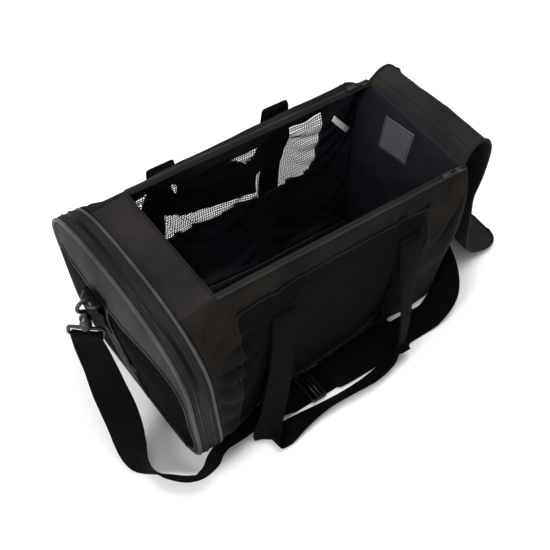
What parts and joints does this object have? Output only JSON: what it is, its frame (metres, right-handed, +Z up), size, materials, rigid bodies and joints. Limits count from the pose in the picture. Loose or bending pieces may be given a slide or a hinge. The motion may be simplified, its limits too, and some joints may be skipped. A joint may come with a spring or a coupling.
{
  "type": "pet carrier bag",
  "caption": "Soft-sided black pet carrier bag with leaning hooped end door, open top flap folded back, mesh windows, carry handles and clipped shoulder strap.",
  "frame": {"origin": "centre of the base underside, on the floor", "axes": "+X to the rear end where the top flap is hinged, +Y to the bag's left side, +Z up"},
  "size_m": [0.688, 0.3404, 0.3119],
  "materials": {
    "outer_fabric": "black woven polyester with a faint brown cast",
    "lining": "satin navy-black coated lining",
    "mesh": "black knitted mesh",
    "webbing": "black flat nylon webbing",
    "piping": "black corded piping with a grey sheen",
    "zip_tape": "black coil zip on woven tape",
    "plastic": "moulded black acetal",
    "metal": "black lacquered zinc",
    "spring_wire": "spring steel wire",
    "label": "blank grey satin label",
    "tag": "blank white satin tag",
    "board": "black corrugated plastic board",
    "mat": "quilted dark mat",
    "pad": "black padded webbing sleeve"
  },
  "bodies": {
    "root": {"bottom_panel": "outer_fabric", "left_wall": "outer_fabric", "right_wall": "outer_fabric", "left_mesh": "mesh", "right_mesh": "mesh", "rear_panel": "outer_fabric", "rear_lining": "lining", "top_strip": "outer_fabric", "rear_hoop_wire": "spring_wire", "rear_piping": "piping", "rear_gusset": "outer_fabric", "door_zip_chain": "zip_tape", "rear_tab": "webbing", "rear_d_ring": "plastic", "rear_strap_eye": "plastic", "strap_side_run": "webbing", "strap_rear_rise": "webbing", "left_band_front": "webbing", "left_band_rear": "webbing", "right_band_front": "webbing", "right_band_rear": "webbing", "label_patch": "label", "care_tag": "tag", "left_zip_tape": "zip_tape", "right_zip_tape": "zip_tape", "front_zip_tape": "zip_tape"},
    "front_door": {"front_hoop_wire": "spring_wire", "front_piping": "piping", "front_gusset": "outer_fabric", "door_border": "outer_fabric", "door_centre_band": "webbing", "door_mesh_right": "mesh", "door_mesh_left": "mesh", "front_tab": "webbing", "front_d_ring": "plastic", "front_strap_eye": "plastic", "strap_front_drop": "webbing"},
    "front_hook": {"front_hook": "plastic"},
    "front_gate": {"front_gate": "plastic"},
    "rear_hook": {"rear_hook": "plastic"},
    "rear_gate": {"rear_gate": "plastic"},
    "flap_a": {"flap_a": "outer_fabric"},
    "flap_b": {"flap_b": "outer_fabric"},
    "flap_c": {"flap_c": "outer_fabric"},
    "flap_d": {"flap_d": "outer_fabric"},
    "flap_e": {"flap_e": "outer_fabric"},
    "left_handle": {"left_handle": "webbing", "grip_wrap": "outer_fabric"},
    "right_handle": {"right_handle": "webbing"},
    "insert": {"base_board": "board", "floor_mat": "mat"},
    "left_slider": {"left_slider": "metal"},
    "left_pull": {"left_pull": "metal"},
    "right_slider": {"right_slider": "metal"},
    "right_pull": {"right_pull": "metal"},
    "door_slider": {"door_slider": "metal"},
    "door_pull": {"door_pull": "metal"},
    "strap_adjuster": {"strap_adjuster": "plastic"},
    "shoulder_pad": {"shoulder_pad": "pad"}
  },
  "joints": [
    {"name": "flap_fold", "type": "hinge", "parent": "root", "child": "flap_a", "pos_m": [0.219, 0, 0.287], "axis": [0, -1, 0], "range_deg": [0, 128.93]},
    {"name": "flap_bend_b", "type": "hinge", "parent": "flap_a", "child": "flap_b", "pos_m": [0.24, 0, 0.313], "axis": [0, -1, 0], "range_deg": [0, 103]},
    {"name": "flap_bend_c", "type": "hinge", "parent": "flap_b", "child": "flap_c", "pos_m": [0.269, 0, 0.276], "axis": [0, -1, 0], "range_deg": [0, 41.47]},
    {"name": "flap_bend_d", "type": "hinge", "parent": "flap_c", "child": "flap_d", "pos_m": [0.264, 0, 0.191], "axis": [0, -1, 0], "range_deg": [-22.89, 0]},
    {"name": "flap_bend_e", "type": "hinge", "parent": "flap_d", "child": "flap_e", "pos_m": [0.32, 0, 0.033], "axis": [0, -1, 0], "range_deg": [-44.33, 0]},
    {"name": "door_hinge", "type": "hinge", "parent": "root", "child": "front_door", "pos_m": [-0.2183, 0, 0], "axis": [0, -1, 0], "range_deg": [0, 50]},
    {"name": "front_hook_swivel", "type": "hinge", "parent": "front_door", "child": "front_hook", "pos_m": [-0.29269, 0, 0.214], "axis": [0, 0, 1], "range_deg": [-15, 15]},
    {"name": "front_gate_pivot", "type": "hinge", "parent": "front_hook", "child": "front_gate", "pos_m": [-0.28409, 0, 0.2378], "axis": [0, -1, 0], "range_deg": [0, 15], "stiffness_Nm_per_rad": 0.02},
    {"name": "rear_hook_swivel", "type": "hinge", "parent": "root", "child": "rear_hook", "pos_m": [0.2345, 0, 0.194], "axis": [0, 0, 1], "range_deg": [-15, 15]},
    {"name": "rear_gate_pivot", "type": "hinge", "parent": "rear_hook", "child": "rear_gate", "pos_m": [0.2259, 0, 0.2178], "axis": [0, 1, 0], "range_deg": [0, 15], "stiffness_Nm_per_rad": 0.02},
    {"name": "left_handle_swing", "type": "hinge", "parent": "root", "child": "left_handle", "pos_m": [0, 0.132, 0.262], "axis": [1, 0, 0], "range_deg": [0, 170]},
    {"name": "right_handle_swing", "type": "hinge", "parent": "root", "child": "right_handle", "pos_m": [0, -0.1295, 0.228], "axis": [-1, 0, 0], "range_deg": [0, 165]},
    {"name": "insert_lift", "type": "slide", "parent": "root", "child": "insert", "axis": [0, 0, 1], "range_m": [0, 0.25]},
    {"name": "left_zip_travel", "type": "slide", "parent": "root", "child": "left_slider", "axis": [-1, 0, 0], "range_m": [0, 0.365]},
    {"name": "right_zip_travel", "type": "slide", "parent": "root", "child": "right_slider", "axis": [-1, 0, 0], "range_m": [0, 0.365]},
    {"name": "left_pull_flip", "type": "hinge", "parent": "left_slider", "child": "left_pull", "pos_m": [0.199, 0.097, 0.2861], "axis": [0, 1, 0], "range_deg": [0, 140]},
    {"name": "right_pull_flip", "type": "hinge", "parent": "right_slider", "child": "right_pull", "pos_m": [0.199, -0.097, 0.2861], "axis": [0, 1, 0], "range_deg": [0, 140]},
    {"name": "door_zip_travel", "type": "slide", "parent": "root", "child": "door_slider", "axis": [-0.1628, 0, 0.9867], "range_m": [0, 0.105]},
    {"name": "door_pull_flip", "type": "hinge", "parent": "door_slider", "child": "door_pull", "pos_m": [-0.20859, 0.1587, 0.05326], "axis": [0.9867, 0, 0.1628], "range_deg": [0, 120]},
    {"name": "adjuster_slide", "type": "slide", "parent": "root", "child": "strap_adjuster", "axis": [1, 0, 0], "range_m": [-0.02, 0.018]},
    {"name": "pad_slide", "type": "slide", "parent": "root", "child": "shoulder_pad", "axis": [1, 0, 0], "range_m": [0, 0.034]}
  ],
  "couplings": [
    {"joint": "flap_bend_b", "follows": "flap_fold", "ratio": 0.79877},
    {"joint": "flap_bend_c", "follows": "flap_fold", "ratio": 0.32154},
    {"joint": "flap_bend_d", "follows": "flap_fold", "ratio": -0.17748},
    {"joint": "flap_bend_e", "follows": "flap_fold", "ratio": -0.34378}
  ]
}
